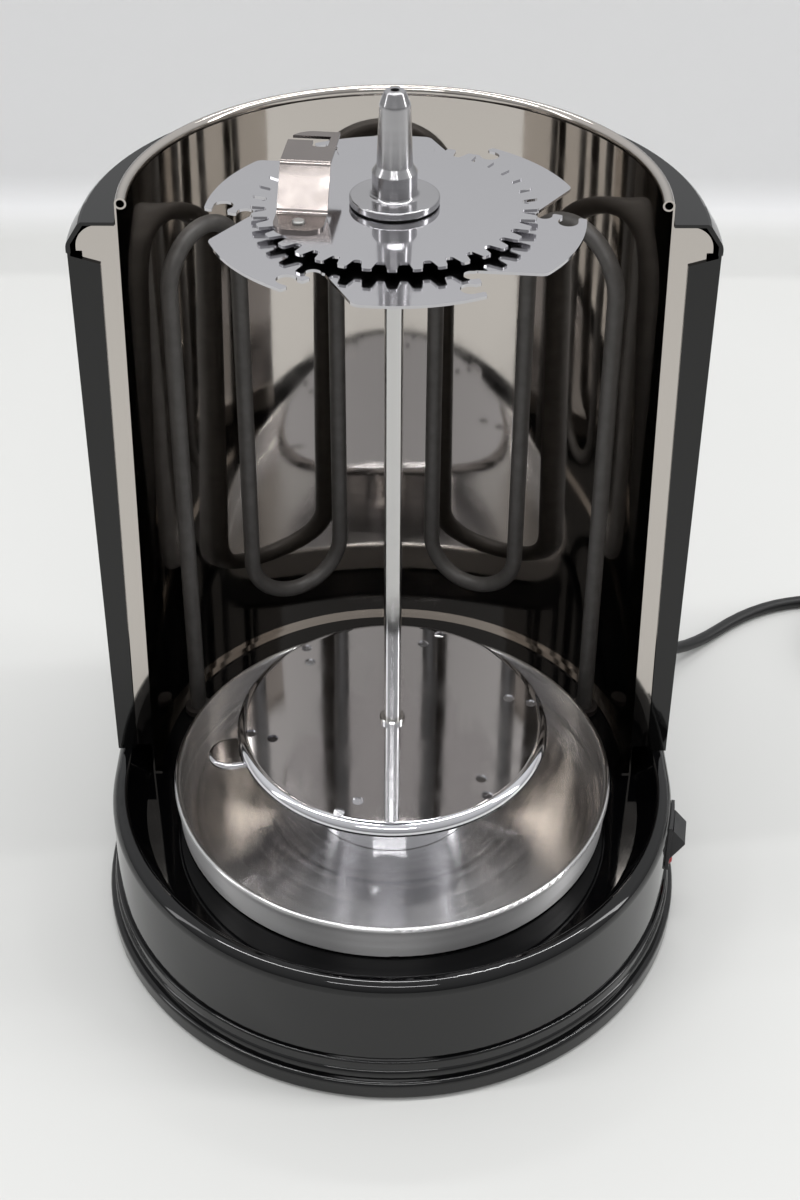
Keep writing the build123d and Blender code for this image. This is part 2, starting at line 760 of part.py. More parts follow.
def make_reflector():
    top = mirror_bead_height
    outer_top = mirror_radius(top) + mirror_sheet
    points = [
        (mirror_foot_radius - mirror_lip, deck_top),
        (mirror_foot_radius + mirror_sheet, deck_top),
        (outer_top, top),
        (outer_top - mirror_sheet, top),
        (mirror_foot_radius, deck_top + mirror_sheet),
        (mirror_foot_radius - mirror_lip, deck_top + mirror_sheet),
    ]
    body = turned(points)
    bead = Circle(mirror_bead_radius) - Circle(mirror_bead_bore)
    body += revolve(Plane.XZ * (Pos(outer_top - mirror_bead_radius, top) * bead), Axis.Z)
    flange_front = shell_front + shell_sheet
    body = behind_plane(Pos(0, tower_setback) * body, flange_front)
    depth = tower_setback - flange_front
    foot = rim_top + shell_sheet + flange_foot_gap
    head = cap_top - cap_sheet - flange_head_gap
    for side in (-1, 1):
        foot_x = sqrt((mirror_radius(foot) + mirror_sheet / 2) ** 2 - depth**2)
        head_x = sqrt((mirror_radius(head) + mirror_sheet / 2) ** 2 - depth**2)
        corners = [
            (side * foot_x, foot),
            (side * flange_outer, foot),
            (side * flange_outer, flange_head_foot),
            (side * flange_head_width, flange_head_foot),
            (side * flange_head_width, head),
            (side * head_x, head),
        ]
        plate = front_plate(corners, flange_front, mirror_sheet)
        spot = (side * flange_head_width, flange_front + mirror_sheet / 2, head)
        rounded = plate.edges().filter_by(Axis.Y).sort_by_distance(spot)[0]
        body += fillet(rounded, flange_head_round)
    return body


def heater_path():
    """The middle line of the tube: six upright legs and five half circles."""
    tops = [heater_side_top, heater_low, heater_middle_top, heater_low, heater_side_top]
    edges = []
    start = Vector(*heater_legs[0], heater_tail)
    for k in range(5):
        here = heater_legs[k]
        there = heater_legs[k + 1]
        reach = dist(here, there) / 2
        sign = 1 if tops[k] > heater_low else -1
        spring = tops[k] - sign * reach
        bend_start = Vector(*here, spring)
        bend_end = Vector(*there, spring)
        edges.append(Line(start, bend_start))
        middle = (bend_start + bend_end) / 2 + Vector(0, 0, sign * reach)
        edges.append(ThreePointArc(bend_start, middle, bend_end))
        start = bend_end
    edges.append(Line(start, Vector(*heater_legs[5], heater_tail)))
    return Wire(edges)


def make_heater():
    path = heater_path()
    return sweep(Plane(path @ 0, z_dir=path % 0) * Circle(heater_radius), path=path)


def make_heater_bushes():
    bushes = []
    for place in (heater_legs[0], heater_legs[-1]):
        body = disc(heater_bush_neck, deck_bottom - 2, deck_top, place)
        body += disc(heater_bush_radius, deck_top, deck_top + heater_bush_height, place)
        bushes.append(body - disc(heater_radius + shaft_gap, 0, rim_top, place))
    return bushes


def make_switch_body():
    depth = band_radius - switch_frame_inner + seat_gap
    frame = Pos(switch_frame_inner + depth / 2, 0, switch_height) * Box(depth, frame_width, frame_height)
    bezel_foot = band_radius + seat_gap
    bezel = ring_solid(switch_bezel_top, bezel_foot, band_bottom, rim_top)
    wide = frame_width + 2 * switch_bezel_overlap
    tall = frame_height + 2 * switch_bezel_overlap
    bezel &= Pos(band_radius, 0, switch_height) * Box(30, wide, tall)
    low = switch_height - frame_height / 2
    back = Pos((switch_back + switch_frame_inner) / 2, 0, (low + switch_back_top) / 2) * Box(
        switch_frame_inner - switch_back, frame_width, switch_back_top - low
    )
    body = frame + bezel + back
    opening = Box(20, switch_opening_width, switch_opening_height)
    body -= Pos(switch_frame_inner + 10, 0, switch_height) * opening
    sweep_room = Rot(90, 0, 0) * Cylinder(7.0, switch_opening_width)
    body -= Pos(rocker_pivot_radius, 0, switch_height) * sweep_room
    pin_hole = Rot(90, 0, 0) * Cylinder(rocker_pin_radius + shaft_gap, frame_width + 2)
    body -= Pos(rocker_pivot_radius, 0, switch_height) * pin_hole
    return on_switch_radius(body)


def make_rocker():
    half = (switch_opening_height - 3.2) / 2
    points = [
        (rocker_pivot_radius - 1.6, switch_height - 5),
        (band_radius + 1.2, switch_height - half),
        (rocker_ridge, rocker_ridge_height),
        (band_radius + 2.2, switch_height + half),
        (rocker_pivot_radius - 1.6, switch_height + 5),
    ]
    outline = make_face(Polyline(*points, close=True))
    ridge = outline.vertices().sort_by_distance((rocker_ridge, rocker_ridge_height, 0))[0]
    outline = fillet(ridge, rocker_round)
    width = switch_opening_width - 2 * rocker_side_gap
    body = extrude(Plane.XZ * outline, width / 2, both=True)
    pin = Rot(90, 0, 0) * Cylinder(rocker_pin_radius, frame_width - 0.8)
    body += Pos(rocker_pivot_radius, 0, switch_height) * pin
    return on_switch_radius(body)


def make_lamp():
    inside = band_radius - housing_wall - 0.3
    points = [
        (0, inside - 3),
        (lamp_flange_radius, inside - 3),
        (lamp_flange_radius, inside),
        (lamp_radius, inside),
        (lamp_radius, lamp_reach),
        (0, lamp_reach),
    ]
    return along_x(turned(points, [(4, 1.8)]), lamp_height, switch_turn)


def make_block():
    body = Box(*block_size)
    body = fillet(body.edges().filter_by(Axis.Z), 1.5)
    for k in (-1, 0, 1):
        body -= Pos(k * block_size[0] / 3.4, 0, block_size[2] / 2) * Cylinder(2.6, 6)
    return Pos(*block_place, plate_top + block_size[2] / 2) * body


def make_cutout():
    body = disc(cutout_radius, deck_bottom - cutout_height, deck_bottom, cutout_place)
    low = deck_bottom - cutout_height - 3
    x, y = cutout_place
    for side in (-1, 1):
        body += Pos(x + side * 4, y, low + 1.5) * Box(0.8, 5, 3)
    return body


def wire_run(points):
    path = FilletPolyline(*points, radius=wire_bend)
    return sweep(Plane(path @ 0, z_dir=path % 0) * Circle(wire_radius), path=path)


def make_wires():
    x, y = block_place
    block_right = x + block_size[0] / 2 + wire_seat
    block_left = x - block_size[0] / 2 - wire_seat
    front = y - block_size[1] / 2 - wire_seat
    block_top = plate_top + block_size[2] + wire_seat
    left = heater_legs[0]
    right = heater_legs[-1]
    leg_end = heater_tail - wire_seat
    inner = relief_inner_end - wire_seat
    switch_x, switch_y = polar((switch_back + switch_frame_inner) / 2, switch_turn)
    switch_low = switch_height - frame_height / 2 - wire_seat
    motor_low = motor_top - motor_height - wire_seat
    level = wire_height
    routes = []
    for k in (-1, 1):
        cord_x = inner * cos(radians(cord_turn)) - k * 2 * sin(radians(cord_turn))
        cord_y = inner * sin(radians(cord_turn)) + tower_setback + k * 2 * cos(radians(cord_turn))
        top = (x + 8 + 3 * k, y + 5)
        bend = (cord_x - 8, cord_y - 7 - k, cord_height)
        routes.append([(cord_x, cord_y, cord_height), bend, (*top, cord_height), (*top, block_top)])
    low_right = [(block_right, y - 5, level), (right[0], y - 5, level)]
    routes.append(low_right + [(*right, level), (*right, leg_end)])
    low_left = [(block_left, y - 5, level), (block_left - wire_lead, y - 5, level)]
    low_left += [(0, 60, level), (left[0] + 20, 60, level)]
    routes.append(low_left + [(*left, level), (*left, leg_end)])
    to_switch = [(x + 8, front, level), (x + 8, front - wire_lead, level)]
    to_switch += [(x + 20, 40, level), (switch_x, switch_y, level)]
    routes.append(to_switch + [(switch_x, switch_y, switch_low)])
    to_motor = [(x - 6, front, level), (x - 6, front - wire_lead, level)]
    to_motor += [(40, 40, level), (12, 12, level), (12, 12, motor_low)]
    routes.append(to_motor)
    return [wire_run(route) for route in routes]


def make_relief():
    inside = relief_inner_end + relief_inner_flange
    points = [
        (0, relief_inner_end),
        (relief_flange, relief_inner_end),
        (relief_flange, inside),
        (relief_neck, inside),
        (relief_neck, band_radius + 0.3),
        (relief_flange, band_radius + 0.3),
        (relief_flange, band_radius + 2.5),
        (relief_neck + 0.4, band_radius + 3.5),
        (relief_tip, band_radius + relief_reach),
        (0, band_radius + relief_reach),
    ]
    return along_x(turned(points), cord_height, cord_turn, tower_setback)


def cord_route():
    """The cord from the strain relief down to the table and off to the coil."""
    near = polar(band_radius + relief_reach, cord_turn)
    level = polar(band_radius + relief_reach + 26, cord_turn)
    return [
        Vector(near[0], near[1] + tower_setback, cord_height),
        Vector(level[0], level[1] + tower_setback, cord_height),
        Vector(169.3, 168.6, cord_radius),
        Vector(215.6, 210.0, cord_radius),
        Vector(262.6, 220.0, cord_radius),
        Vector(288.6, 220.0, cord_radius),
    ]


def corner_radii(name, points):
    """Largest arcs that the straight runs beside each corner allow."""
    radii = []
    for before, corner, after in zip(points, points[1:], points[2:]):
        turn = radians((corner - before).get_angle(after - corner))
        shorter = min((corner - before).length, (after - corner).length)
        radii.append(0.45 * shorter / tan(turn / 2))
    print(name, "radii", [round(r, 1) for r in radii])
    return radii


def cord_tube(name, points):
    path = FilletPolyline(*points, radius=corner_radii(name, points))
    tube = sweep(Plane(path @ 0, z_dir=path % 0) * Circle(cord_radius), path=path)
    expected = pi * cord_radius**2 * path.length
    print(name, "length", round(path.length, 1), "volume ratio", round(tube.volume / expected, 5))
    return tube


def coil_path():
    """Two layers of turns: in along the table, up at the inmost half turn, out again."""
    pitch = 2 * cord_radius + cord_clear
    start = cord_route()[-1]
    top = start + Vector(2 * cord_radius, 0, 0)
    edges = [Line(start, top)]
    here = top
    radius = coil_start_radius
    for k in range(1, coil_half_turns + 1):
        side = 1 if k % 2 else -1
        climb = pitch if k == coil_climb_at else 0.0
        across = 2 * radius * cos(asin(climb / (2 * radius)))
        there = Vector(here.X, here.Y - side * across, here.Z + climb)
        middle = (here + there) / 2 + Vector(side * radius, 0, 0)
        edges.append(ThreePointArc(here, middle, there))
        here = there
        radius += -pitch / 2 if k < coil_climb_at else pitch / 2
    edges.append(Line(here, here + Vector(2 * cord_radius, 0, 0)))
    return Wire(edges)


def least_gap(path):
    """Smallest gap between turns, measured on points of the middle line."""
    count = 800
    spots = [tuple(path @ (i / count)) for i in range(count + 1)]
    apart = int(8 * cord_radius / path.length * count)
    nearest = min(
        dist(spots[i], spots[j]) for i in range(count + 1) for j in range(i + apart, count + 1)
    )
    return nearest - 2 * cord_radius


def make_coil():
    path = coil_path()
    tube = sweep(Plane(path @ 0, z_dir=path % 0) * Circle(cord_radius), path=path)
    expected = pi * cord_radius**2 * path.length
    print("coil length", round(path.length, 1), "volume ratio", round(tube.volume / expected, 5))
    print("coil least gap to itself", round(least_gap(path), 2))
    return tube


def tail_route():
    start = coil_path() @ 1
    return [
        start,
        start + Vector(33, 0, 0),
        Vector(start.X + 67.8, start.Y - 29.6, plug_radius),
        Vector(start.X + 67.8, start.Y - 67.6, plug_radius),
    ]


def make_plug():
    points = [
        (0, 0),
        (relief_tip, 0),
        (relief_neck + 1, 24),
        (11, 27),
        (plug_radius - 3, 42),
        (plug_radius, 46),
        (plug_radius, 62),
        (0, 62),
    ]
    body = turned(points, [(3, 3), (6, 1.5)])
    groove = Pos(plug_radius, 0, 57) * Box(4, 5, 16)
    body = body - groove - Pos(-2 * plug_radius, 0, 0) * groove
    return Pos(*tail_route()[-1]) * Rot(90, 0, 0) * body


def make_plug_pins():
    foot = tail_route()[-1]
    pins = []
    for side in (-1, 1):
        pin = fillet(disc(2.4, 62, 81).edges().group_by(Axis.Z)[-1], 1.2)
        pins.append(Pos(*foot) * Rot(90, 0, 0) * Pos(0, side * 9.5, 0) * pin)
    return pins


pieces = {
    "base_housing": make_housing,
    "base_ring": make_base_ring,
    "base_feet": make_feet,
    "base_screws": make_base_screws,
    "drive_motor": make_motor,
    "motor_screws": make_motor_screws,
    "motor_shaft": make_motor_shaft,
    "shaft_bush": make_shaft_bush,
    "drive_coupling": make_driver,
    "drip_tray": make_tray,
    "lower_dish": make_dish,
    "dish_cup": make_cup,
    "dish_socket": make_socket,
    "dish_tab": make_tab,
    "centre_rod": make_rod,
    "rod_collar": make_collar,
    "hook_plate": make_hook_plate,
    "gear_spacer": make_spacer,
    "sun_gear": make_gear,
    "gear_bracket": make_bracket,
    "bracket_rivet": make_rivet,
    "hub_washer": make_washer,
    "top_hub": make_hub,
    "outer_shell": make_shell,
    "shell_screws": make_shell_screws,
    "top_cap": make_cap,
    "reflector": make_reflector,
    "heater": make_heater,
    "heater_bushes": make_heater_bushes,
    "switch_body": make_switch_body,
    "switch_rocker": make_rocker,
    "indicator_lamp": make_lamp,
    "terminal_block": make_block,
    "thermal_cutout": make_cutout,
    "internal_wires": make_wires,
    "strain_relief": make_relief,
    "cord_lead": lambda: cord_tube("cord lead", cord_route()),
    "cord_coil": make_coil,
    "cord_tail": lambda: cord_tube("cord tail", tail_route()),
    "plug_body": make_plug,
    "plug_pins": make_plug_pins,
}

for name, make in pieces.items():
    made = make()
    group = made if isinstance(made, list) else made.solids()
    export_step(Compound(children=list(group)), f"parts/{name}.step")
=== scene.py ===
import bpy
import math
from mathutils import Matrix, Vector


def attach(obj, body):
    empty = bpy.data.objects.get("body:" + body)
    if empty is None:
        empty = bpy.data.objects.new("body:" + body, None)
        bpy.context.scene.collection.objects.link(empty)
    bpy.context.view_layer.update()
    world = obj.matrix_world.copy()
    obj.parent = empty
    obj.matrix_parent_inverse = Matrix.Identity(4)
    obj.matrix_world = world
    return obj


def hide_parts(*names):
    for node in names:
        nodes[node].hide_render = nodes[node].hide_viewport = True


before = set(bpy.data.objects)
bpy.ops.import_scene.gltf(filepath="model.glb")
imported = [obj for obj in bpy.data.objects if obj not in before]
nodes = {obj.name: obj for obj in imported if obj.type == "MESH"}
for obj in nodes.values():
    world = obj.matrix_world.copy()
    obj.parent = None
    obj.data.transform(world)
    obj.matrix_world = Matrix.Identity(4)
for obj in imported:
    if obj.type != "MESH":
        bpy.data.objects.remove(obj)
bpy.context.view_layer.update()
print("frame loaded:", len(nodes), "nodes")

mm = 0.001  # the frame is in metres


def linearColour(hexCode):  # sRGB hex to the linear values that a shader wants
    parts = [int(hexCode[i:i + 2], 16) / 255 for i in (0, 2, 4)]
    return [part / 12.92 if part <= 0.04045 else ((part + 0.055) / 1.055) ** 2.4 for part in parts] + [1.0]


def addNode(tree, kind, settings=None, inputs=None):  # a node with its settings, values and links
    node = tree.nodes.new(kind)
    for name, value in (settings or {}).items():
        setattr(node, name, value)
    for name, value in (inputs or {}).items():
        if isinstance(value, bpy.types.NodeSocket):
            tree.links.new(value, node.inputs[name])
        else:
            node.inputs[name].default_value = value
    return node


def newMaterial(name, colour, metallic, roughness, extra=None):  # one plain shader, and Object coordinates
    material = bpy.data.materials.new(name)
    material.use_nodes = True
    tree = material.node_tree
    tree.nodes.clear()
    shader = addNode(tree, "ShaderNodeBsdfPrincipled", {}, {"Metallic": metallic, "Roughness": roughness})
    shader.inputs["Base Color"].default_value = linearColour(colour)
    for socket, value in (extra or {}).items():
        shader.inputs[socket].default_value = value
    addNode(tree, "ShaderNodeOutputMaterial", {}, {"Surface": shader.outputs[0]})
    place = addNode(tree, "ShaderNodeTexCoord").outputs["Object"]
    return material, tree, shader, place


# The camera was solved from the round edges in the photograph.
cameraValues = {
    "place": (0.0, -0.6668, 0.6882),  # metres
    "pitch": 33.54,  # degrees below the horizon
    "turn": 0.09,  # degrees to the left
    "roll": 0.20,  # degrees about the lens axis
    "focalPixels": 1850.8,
    "imageSize": (800, 1200),
    "axisPixel": (391, 462),  # where the lens axis meets the picture
    "sensor": 36.0,  # mm, along the picture's long side
    "nearest": 0.01,  # metres, the closest that the camera sees
    "farthest": 20,
}


def makeCamera(values):
    data = bpy.data.cameras.new("grillCamera")
    camera = bpy.data.objects.new("grillCamera", data)
    bpy.context.scene.collection.objects.link(camera)
    wide, tall = values["imageSize"]
    data.sensor_width = values["sensor"]
    data.lens = values["focalPixels"] / tall * values["sensor"]
    data.shift_x = (wide / 2 - values["axisPixel"][0]) / tall
    data.shift_y = (values["axisPixel"][1] - tall / 2) / tall
    data.clip_start = values["nearest"]
    data.clip_end = values["farthest"]
    tilt = Matrix.Rotation(math.radians(90 - values["pitch"]), 4, "X")
    turn = Matrix.Rotation(math.radians(values["turn"]), 4, "Z")
    roll = Matrix.Rotation(math.radians(values["roll"]), 4, "Z")
    camera.matrix_world = Matrix.Translation(values["place"]) @ turn @ tilt @ roll
    bpy.context.scene.camera = camera


makeCamera(cameraValues)
bpy.context.scene.view_settings.view_transform = "Standard"
print("camera set")

cordValues = {  # sizes in millimetres
    "radius": 3.4,
    "clear": 0.6,  # between neighbouring turns
    "route": [  # strain relief, down to the table, out of the picture
        (116.099, 123.110, 31.0),
        (135.958, 139.894, 31.0),
        (169.3, 168.6, 3.4),
        (215.6, 210.0, 3.4),
        (262.6, 220.0, 3.4),
        (288.6, 220.0, 3.4),
    ],
    "firstRadius": 42.5,  # of the coil's outer turn
    "halfTurns": 8,
    "climbAt": 4,  # the half turn that rises to the second layer
    "pointsPerHalf": 8,
    "tail": [(33.0, 0.0, 10.8), (67.8, -29.6, 18.5), (67.8, -67.6, 18.5)],  # x and y from the coil's end
    "length": 1.31,  # metres
    "bevelSteps": 6,
    "lengthSteps": 6,
}


def coilPoints(values):  # control points of the turns: in on the table, up, and out on the second layer
    diameter = 2 * values["radius"]
    pitch = diameter + values["clear"]
    step = math.pi / values["pointsPerHalf"]
    besidePoint = 0.75 + 0.25 * math.cos(step)  # how far out a spline runs beside a point
    betweenPoints = math.cos(step / 2)  # and between two of them
    outward = 2 / (besidePoint + betweenPoints)
    x, y, z = values["route"][-1]
    top = Vector((x + diameter, y, z))
    radius = values["firstRadius"]
    points = [Vector((x, y, z))]
    for half in range(1, values["halfTurns"] + 1):
        side = 1 if half % 2 else -1
        climb = pitch if half == values["climbAt"] else 0.0
        centre = top - Vector((0, side * radius, 0))
        for i in range(values["pointsPerHalf"]):
            angle = math.pi * ((i + 0.5) / values["pointsPerHalf"])
            around = Vector((side * math.sin(angle), side * math.cos(angle), 0))
            point = centre + around * radius * outward
            point.z += climb * (0.5 - 0.5 * math.cos(angle))
            points.append(point)
        top = centre - Vector((0, side * radius, -climb))
        radius += -pitch / 2 if half < values["climbAt"] else pitch / 2
    end = top + Vector((diameter, 0, 0))
    points.append(end)
    return points, end


def makeCord(values):
    turns, end = coilPoints(values)
    points = [Vector(point) for point in values["route"][:-1]] + turns
    points += [Vector((end.x + x, end.y + y, z)) for x, y, z in values["tail"]]
    data = bpy.data.curves.new("mainsCord", "CURVE")
    data.dimensions = "3D"
    data.bevel_depth = 1.0  # times each point's radius, which also sizes the curve's box
    data.bevel_resolution = values["bevelSteps"]
    data.resolution_u = values["lengthSteps"]
    data.use_fill_caps = True
    spline = data.splines.new("NURBS")
    spline.points.add(len(points) - 1)
    for spot, point in zip(spline.points, points):
        spot.co = (*(point * mm), 1.0)
        spot.radius = values["radius"] * mm
    spline.order_u = 3
    spline.use_endpoint_u = True
    cord = bpy.data.objects.new("mainsCord", data)
    bpy.context.scene.collection.objects.link(cord)
    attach(cord, "base")
    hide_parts("cord_lead", "cord_coil", "cord_tail")
    return cord


mainsCord = makeCord(cordValues)
print("cord laid")

# Spots that dull a surface here and there: their size in mm, the noise's detail, the part of the noise
# that counts, and the share of the roughness that it runs between.
buffingSmears = {"size": 14, "detail": 4.0, "noise": (0.35, 0.7), "share": (0.75, 1.5)}
toolStreaks = {"size": 4, "detail": 3.0, "noise": (0.3, 0.7), "share": (0.85, 1.2)}
lightDust = {"size": 30, "detail": 5.0, "noise": (0.35, 0.7), "share": (0.8, 1.35)}


def dulledInSpots(tree, vector, roughness, spots):
    noise = addNode(tree, "ShaderNodeTexNoise", {}, {
        "Vector": vector, "Scale": 1 / (spots["size"] * mm), "Detail": spots["detail"]})
    dull = addNode(tree, "ShaderNodeMapRange", {}, {
        "Value": noise.outputs["Fac"], "From Min": spots["noise"][0], "From Max": spots["noise"][1],
        "To Min": roughness * spots["share"][0], "To Max": roughness * spots["share"][1]})
    return dull.outputs[0]


def mirrorStainless(name, colour, roughness, wave, waveSize):
    # stainless sheet, mirror polished: clear reflections that swim where the sheet is not quite flat
    material, tree, shader, place = newMaterial(name, colour, 1.0, roughness)
    broad = addNode(tree, "ShaderNodeTexNoise", {}, {
        "Vector": place, "Scale": 1 / (waveSize * mm), "Detail": 1.0})
    bump = addNode(tree, "ShaderNodeBump", {}, {
        "Height": broad.outputs["Fac"], "Strength": 1.0, "Distance": wave * mm})
    tree.links.new(dulledInSpots(tree, place, roughness, buffingSmears), shader.inputs["Roughness"])
    tree.links.new(bump.outputs[0], shader.inputs["Normal"])
    return material


turningValues = {
    "pullTurn": 0.25,  # a quarter turn: highlights are pulled across the rings
    "wallFrom": 0.8,  # how far a face looks outwards before it counts as a wall
    "wallTo": 0.95,
}


def turnedStainless(name, colour, roughness, grain, depth, pull, wall, values=turningValues):
    # stainless spun on a lathe: rings round the axis that pull each highlight out into a fan
    material, tree, shader, place = newMaterial(
        name, colour, 1.0, roughness, {"Anisotropic": pull, "Anisotropic Rotation": values["pullTurn"]})
    split = addNode(tree, "ShaderNodeSeparateXYZ", {}, {"Vector": place})
    back = addNode(tree, "ShaderNodeMath", {"operation": "MULTIPLY"}, {0: split.outputs["Y"], 1: -1.0})
    along = addNode(tree, "ShaderNodeCombineXYZ", {}, {
        "X": back.outputs[0], "Y": split.outputs["X"], "Z": 0.0})
    away = addNode(tree, "ShaderNodeVectorMath", {"operation": "LENGTH"}, {0: along.outputs[0]})
    ring = addNode(tree, "ShaderNodeCombineXYZ", {}, {
        "X": away.outputs["Value"], "Y": 0.0, "Z": split.outputs["Z"]})
    rings = addNode(tree, "ShaderNodeTexNoise", {}, {
        "Vector": ring.outputs[0], "Scale": 1 / (grain * mm), "Detail": 3.0, "Roughness": 0.7})
    bump = addNode(tree, "ShaderNodeBump", {}, {
        "Height": rings.outputs["Fac"], "Strength": 1.0, "Distance": depth * mm})
    outward = addNode(tree, "ShaderNodeCombineXYZ", {}, {
        "X": split.outputs["X"], "Y": split.outputs["Y"], "Z": 0.0})
    unit = addNode(tree, "ShaderNodeVectorMath", {"operation": "NORMALIZE"}, {0: outward.outputs[0]})
    skin = addNode(tree, "ShaderNodeNewGeometry").outputs["Normal"]
    facing = addNode(tree, "ShaderNodeVectorMath", {"operation": "DOT_PRODUCT"}, {
        0: unit.outputs[0], 1: skin})
    satin = addNode(tree, "ShaderNodeMapRange", {}, {
        "Value": facing.outputs["Value"], "From Min": values["wallFrom"], "From Max": values["wallTo"],
        "To Min": 0.0, "To Max": wall})
    dull = dulledInSpots(tree, ring.outputs[0], roughness, toolStreaks)
    rough = addNode(tree, "ShaderNodeMath", {"operation": "ADD"}, {0: dull, 1: satin.outputs[0]})
    tree.links.new(along.outputs[0], shader.inputs["Tangent"])
    tree.links.new(rough.outputs[0], shader.inputs["Roughness"])
    tree.links.new(bump.outputs[0], shader.inputs["Normal"])
    return material


def glossyBlack(name, colour, roughness, peel, peelSize):
    # black plastic or baked paint: a deep gloss with a faint orange peel and a little dust
    material, tree, shader, place = newMaterial(name, colour, 0.0, roughness)
    skin = addNode(tree, "ShaderNodeTexNoise", {}, {
        "Vector": place, "Scale": 1 / (peelSize * mm), "Detail": 2.0})
    bump = addNode(tree, "ShaderNodeBump", {}, {
        "Height": skin.outputs["Fac"], "Strength": 1.0, "Distance": peel * mm})
    tree.links.new(dulledInSpots(tree, place, roughness, lightDust), shader.inputs["Roughness"])
    tree.links.new(bump.outputs[0], shader.inputs["Normal"])
    return material


cloudPerGrain = 8  # patches of the second shade are this much wider than the grain


def mixShades(tree, factor, colour, other):  # one colour turning into another
    shade = addNode(tree, "ShaderNodeMix", {"data_type": "RGBA"}, {"Factor": factor})
    firstColour, secondColour = shade.inputs[6], shade.inputs[7]  # by number, as names repeat on this node
    firstColour.default_value = linearColour(colour)
    secondColour.default_value = linearColour(other)
    return shade.outputs[2]


def grainedSolid(name, colour, other, metallic, roughness, grain, depth):
    # a matte or satin skin with two shades and a fine grain: rubber, ceramic, oxide, zinc
    material, tree, shader, place = newMaterial(name, colour, metallic, roughness)
    cloud = addNode(tree, "ShaderNodeTexNoise", {}, {
        "Vector": place, "Scale": 1 / (cloudPerGrain * grain * mm), "Detail": 5.0})
    fine = addNode(tree, "ShaderNodeTexNoise", {}, {
        "Vector": place, "Scale": 1 / (grain * mm), "Detail": 3.0})
    bump = addNode(tree, "ShaderNodeBump", {}, {
        "Height": fine.outputs["Fac"], "Strength": 1.0, "Distance": depth * mm})
    tree.links.new(mixShades(tree, cloud.outputs["Fac"], colour, other), shader.inputs["Base Color"])
    tree.links.new(bump.outputs[0], shader.inputs["Normal"])
    return material


finishes = {
    # injection-moulded ABS, polished tool: near black with a wet gloss
    "mouldedAbs": glossyBlack("mouldedAbs", "040405", 0.05, 0.004, 5.0),
    # baked enamel on sheet steel: black, a shade softer than the plastic
    "bakedEnamel": glossyBlack("bakedEnamel", "040404", 0.06, 0.006, 4.0),
    # mirror-polished stainless of the reflector, slightly warm from heat
    "reflectorSheet": mirrorStainless("reflectorSheet", "c4beb8", 0.06, 0.35, 90.0),
    # punched and polished stainless of the plates: a cool mirror, almost flat
    "polishedSheet": mirrorStainless("polishedSheet", "c6c5c8", 0.08, 0.12, 45.0),
    # pressed and buffed stainless of the dish: softer bands than the sheet above it
    "buffedSheet": mirrorStainless("buffedSheet", "e4e4e8", 0.07, 0.25, 55.0),
    # the bracket's sheet, a little browned
    "brownedSheet": mirrorStainless("brownedSheet", "8f8885", 0.2, 0.3, 16.0),
    # drawn stainless rod: blurred upright highlights
    "drawnRod": mirrorStainless("drawnRod", "c8c7c6", 0.16, 0.02, 6.0),
    # spun stainless of the tray, bright with a turned grain
    "spunTray": turnedStainless("spunTray", "d8d7d7", 0.22, 0.9, 0.0006, 0.94, 0.28),
    # aluminium turned on a lathe: grey satin with fine rings
    "turnedAluminium": turnedStainless("turnedAluminium", "b4b3b5", 0.2, 0.5, 0.002, 0.6, 0.0),
    # zinc-plated steel of screws and brackets: a dull grey sheen
    "zincSteel": grainedSolid("zincSteel", "a8a8a6", "8e8e8c", 1.0, 0.38, 0.6, 0.01),
    # heater tube after its first firing: dark, dry oxide
    "firedOxide": grainedSolid("firedOxide", "5c5a58", "423f3d", 0.3, 0.46, 0.7, 0.02),
    # seals at the heater's feet: a near-black brown that is painted shade where the tubes meet the well
    "shadeDarkSeal": grainedSolid("shadeDarkSeal", "2b2522", "1b1716", 0.0, 0.5, 0.8, 0.02),
    # pressed and fired steatite: unglazed warm white
    "steatite": grainedSolid("steatite", "e6e1d6", "d8d0c2", 0.0, 0.6, 0.8, 0.02),
    # moulded nylon of the switch: dark grey satin
    "satinNylon": grainedSolid("satinNylon", "262628", "1d1d1f", 0.0, 0.38, 0.5, 0.01),
    # moulded rubber: dead matte black
    "rubberFoot": grainedSolid("rubberFoot", "161616", "0f0f0f", 0.0, 0.75, 0.6, 0.03),
    # extruded cord jacket: black with a soft sheen
    "cordJacket": grainedSolid("cordJacket", "131314", "0d0d0e", 0.0, 0.42, 0.8, 0.02),
    # moulded PVC of the plug: black, a little duller than the cord
    "plugPvc": grainedSolid("plugPvc", "151516", "0f0f10", 0.0, 0.5, 0.7, 0.03),
    # nickel-plated brass pins: a warm, slightly blurred mirror
    "nickelPin": mirrorStainless("nickelPin", "cbc7bd", 0.18, 0.02, 5.0),
    # cast and turned brass of the bush: yellow with faint rings
    "castBrass": turnedStainless("castBrass", "c9a45c", 0.3, 0.5, 0.01, 0.3, 0.0),
    # extruded silicone sleeves of the wires: pale and matte
    "siliconeSleeve": grainedSolid("siliconeSleeve", "c9c8c2", "bcbbb4", 0.0, 0.55, 0.8, 0.02),
    # moulded and dyed clear plastic of the lamp: deep red with a gloss
    "redLens": newMaterial("redLens", "a01410", 0.0, 0.12, {"IOR": 1.49, "Coat Weight": 0.4})[0],
}

